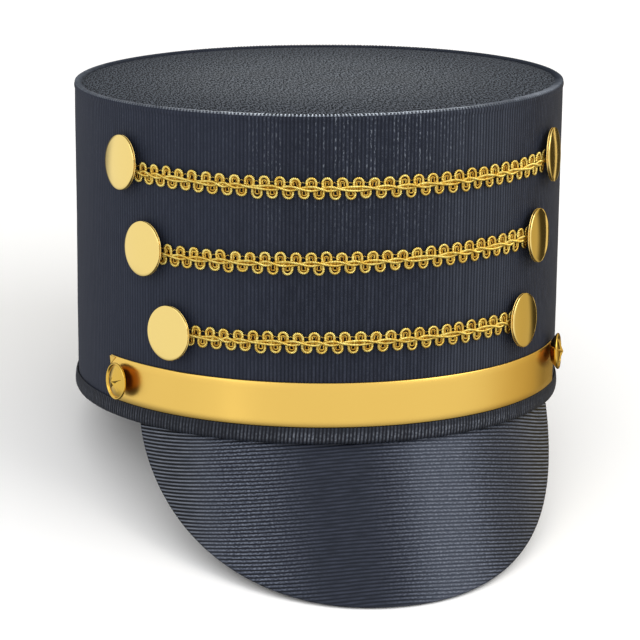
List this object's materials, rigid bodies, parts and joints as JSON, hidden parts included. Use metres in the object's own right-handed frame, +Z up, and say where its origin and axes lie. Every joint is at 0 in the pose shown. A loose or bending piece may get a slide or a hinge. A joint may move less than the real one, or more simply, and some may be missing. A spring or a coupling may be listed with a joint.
{
  "type": "marching band hat",
  "caption": "Tall stiff drum-shaped band hat with a flat top, a curved front peak, a smooth gold band with side buttons, and scalloped gold braids held by round discs.",
  "frame": {"origin": "centre of the resting hat's bounding box, at the height of the table it rests on", "axes": "+Z up; -Y towards the front, the way the peak points; +X towards the wearer's left. The hat's own axis is tipped back 13.7 degrees about X, as it rests on its back lower edge and the tip of its peak."},
  "size_m": [0.2022, 0.2682, 0.1718],
  "materials": {
    "wall_cloth": "matte, finely ribbed",
    "top_cloth": "matte, fine weave",
    "tape_cloth": "ribbed tape",
    "peak_cloth": "ribbed, slight sheen",
    "gold": "smooth satin",
    "braid_gold": "metallic wrapped cord"
  },
  "bodies": {
    "root": {"crown_wall": "wall_cloth", "crown_top": "top_cloth", "rim_welt": "tape_cloth", "base_binding": "tape_cloth", "peak": "peak_cloth", "gold_band": "gold", "band_button_left": "gold", "band_button_right": "gold", "disc_upper_left": "gold", "disc_upper_right": "gold", "disc_middle_left": "gold", "disc_middle_right": "gold", "disc_lower_left": "gold", "disc_lower_right": "gold", "braid_upper": "braid_gold", "braid_middle": "braid_gold", "braid_lower": "braid_gold"}
  },
  "joints": []
}
